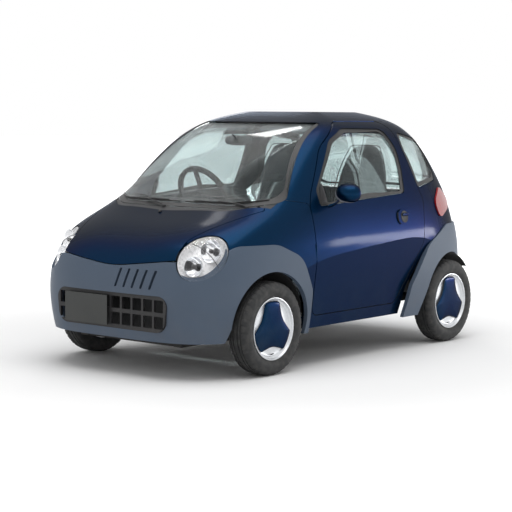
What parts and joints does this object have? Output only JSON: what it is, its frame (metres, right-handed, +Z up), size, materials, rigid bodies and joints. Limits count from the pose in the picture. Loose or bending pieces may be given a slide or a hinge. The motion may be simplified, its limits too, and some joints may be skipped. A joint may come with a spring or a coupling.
{
  "type": "kei car",
  "caption": "Small three-door hatchback car with a rounded cab, black tyres, grey bumpers, opening doors, bonnet, hatch glass and steered front wheels.",
  "frame": {"origin": "on the ground, at the middle of the car's length and width", "axes": "+X forward to the nose, +Y to the car's left, +Z up"},
  "size_m": [2.742, 1.734, 1.4499],
  "materials": {
    "paint": "gloss",
    "grey_plastic": "satin",
    "black_plastic": "matt",
    "trim": "matt",
    "chassis_black": "matt",
    "glass": "clear",
    "lamp": "clear",
    "tail_lamp": "clear",
    "plate": "gloss",
    "tyre": "matt",
    "alloy": "satin",
    "iron": "rough",
    "steel": "satin",
    "fabric": "woven"
  },
  "bodies": {
    "chassis": {"side_frame_left": "paint", "side_frame_right": "paint", "quarter_windows": "glass", "windscreen": "glass", "roof_panel": "paint", "rear_panel": "paint", "fender_left": "paint", "fender_right": "paint", "cowl": "black_plastic", "front_bumper": "grey_plastic", "rear_bumper": "grey_plastic", "headlamps": "lamp", "tail_lamps": "tail_lamp", "grille": "black_plastic", "number_plates": "plate", "front_subframe": "chassis_black", "front_wheelhouses": "chassis_black", "rear_wheelhouses": "chassis_black", "rear_axle": "chassis_black", "floor_pan": "chassis_black", "firewall": "chassis_black", "seat_left": "fabric", "seat_right": "fabric", "seat_rails": "steel", "dashboard_column": "trim", "engine_block": "iron", "radiator": "alloy", "fuel_tank": "chassis_black", "exhaust": "steel"},
    "door_assembly_left": {"door_left": "paint", "door_glass_left": "glass", "handle_left": "paint", "mirror_left": "paint"},
    "door_assembly_right": {"door_right": "paint", "door_glass_right": "glass", "handle_right": "paint", "mirror_right": "paint"},
    "bonnet_assembly": {"bonnet": "paint"},
    "hatch_assembly": {"hatch_glass": "glass"},
    "fuel_lid_assembly": {"fuel_lid": "paint"},
    "steer_left": {"knuckle_left": "iron"},
    "steer_right": {"knuckle_right": "iron"},
    "steering_rack_bar": {"steering_rack": "steel"},
    "steering_wheel_shaft": {"steering_wheel": "trim"},
    "wheel_assembly_front_left": {"tyre_front_left": "tyre", "wheel_front_left": "alloy", "brake_disc_front_left": "iron"},
    "wheel_assembly_front_right": {"tyre_front_right": "tyre", "wheel_front_right": "alloy", "brake_disc_front_right": "iron"},
    "wheel_assembly_rear_left": {"tyre_rear_left": "tyre", "wheel_rear_left": "alloy", "brake_drum_rear_left": "iron"},
    "wheel_assembly_rear_right": {"tyre_rear_right": "tyre", "wheel_rear_right": "alloy", "brake_drum_rear_right": "iron"}
  },
  "joints": [
    {"name": "door_left_hinge", "type": "hinge", "parent": "chassis", "child": "door_assembly_left", "pos_m": [0.4345, 0.72352, 0.66], "axis": [0, 0, -1], "range_deg": [0, 65]},
    {"name": "door_right_hinge", "type": "hinge", "parent": "chassis", "child": "door_assembly_right", "pos_m": [0.4345, -0.72352, 0.66], "axis": [0, 0, 1], "range_deg": [0, 65]},
    {"name": "bonnet_hinge", "type": "hinge", "parent": "chassis", "child": "bonnet_assembly", "pos_m": [0.68003, 0, 0.90402], "axis": [0, -1, 0], "range_deg": [0, 55]},
    {"name": "hatch_hinge", "type": "hinge", "parent": "chassis", "child": "hatch_assembly", "pos_m": [-0.93546, 0, 1.3425], "axis": [0, 1, 0], "range_deg": [0, 75]},
    {"name": "fuel_lid_hinge", "type": "hinge", "parent": "chassis", "child": "fuel_lid_assembly", "pos_m": [-0.7145, -0.69196, 0.85], "axis": [0, 0, 1], "range_deg": [0, 100]},
    {"name": "steer_left_hinge", "type": "hinge", "parent": "chassis", "child": "steer_left", "pos_m": [0.8, 0.592, 0.19], "axis": [0, -0.171, 0.9853], "range_deg": [-35, 35]},
    {"name": "steer_right_hinge", "type": "hinge", "parent": "chassis", "child": "steer_right", "pos_m": [0.8, -0.592, 0.19], "axis": [0, 0.171, 0.9853], "range_deg": [-35, 35]},
    {"name": "rack_slide", "type": "slide", "parent": "chassis", "child": "steering_rack_bar", "axis": [0, 1, 0], "range_m": [-0.0682, 0.0682]},
    {"name": "steering_wheel_turn", "type": "hinge", "parent": "chassis", "child": "steering_wheel_shaft", "pos_m": [0.215, -0.32, 0.935], "axis": [-0.8988, 0, 0.4384], "range_deg": [-540, 540]},
    {"name": "wheel_front_left_spin", "type": "hinge", "parent": "steer_left", "child": "wheel_assembly_front_left", "pos_m": [0.8, 0.655, 0.2604], "axis": [0, 1, 0], "continuous": true},
    {"name": "wheel_front_right_spin", "type": "hinge", "parent": "steer_right", "child": "wheel_assembly_front_right", "pos_m": [0.8, -0.655, 0.2604], "axis": [0, 1, 0], "continuous": true},
    {"name": "wheel_rear_left_spin", "type": "hinge", "parent": "chassis", "child": "wheel_assembly_rear_left", "pos_m": [-1, 0.645, 0.2604], "axis": [0, 1, 0], "continuous": true},
    {"name": "wheel_rear_right_spin", "type": "hinge", "parent": "chassis", "child": "wheel_assembly_rear_right", "pos_m": [-1, -0.645, 0.2604], "axis": [0, 1, 0], "continuous": true}
  ],
  "couplings": [
    {"joint": "steer_right_hinge", "follows": "steer_left_hinge", "ratio": 1},
    {"joint": "rack_slide", "follows": "steer_left_hinge", "m_per_rad": -0.1033},
    {"joint": "steering_wheel_turn", "follows": "steer_left_hinge", "ratio": 15}
  ]
}
